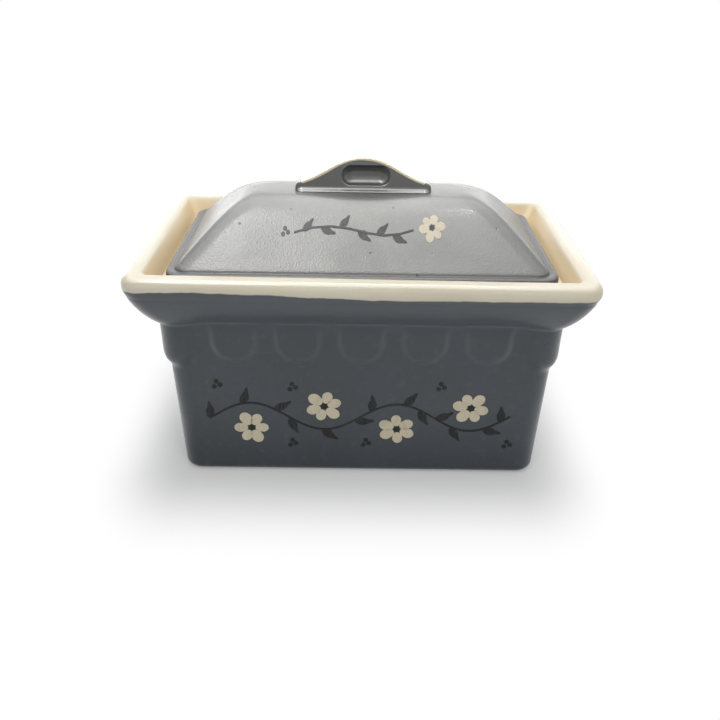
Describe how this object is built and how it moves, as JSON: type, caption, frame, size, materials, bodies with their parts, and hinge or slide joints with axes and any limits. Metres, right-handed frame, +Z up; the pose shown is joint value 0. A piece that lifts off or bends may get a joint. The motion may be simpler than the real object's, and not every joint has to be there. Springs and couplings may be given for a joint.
{
  "type": "terrine dish",
  "caption": "Rectangular glazed earthenware terrine with a flared rim, moulded lobes under the neck and a lift-off hipped lid with an arched grip.",
  "frame": {"origin": "middle of the flat base, on the surface that the dish stands on", "axes": "+X along the length, +Y across to the back, +Z up"},
  "size_m": [0.2, 0.128, 0.139],
  "materials": {
    "dish_glaze": "gloss slate grey glaze, cream glaze on the rim and inside",
    "lid_glaze": "gloss slate grey glaze, cream glaze underneath",
    "handle_glaze": "gloss slate grey glaze, worn to cream along the crest"
  },
  "bodies": {
    "dish": {"dish": "dish_glaze"},
    "lid": {"lid": "lid_glaze", "lid_handle": "handle_glaze"}
  },
  "joints": [
    {"name": "lid_lift", "type": "slide", "parent": "dish", "child": "lid", "axis": [0, 0, 1], "range_m": [0, 0.07]}
  ]
}
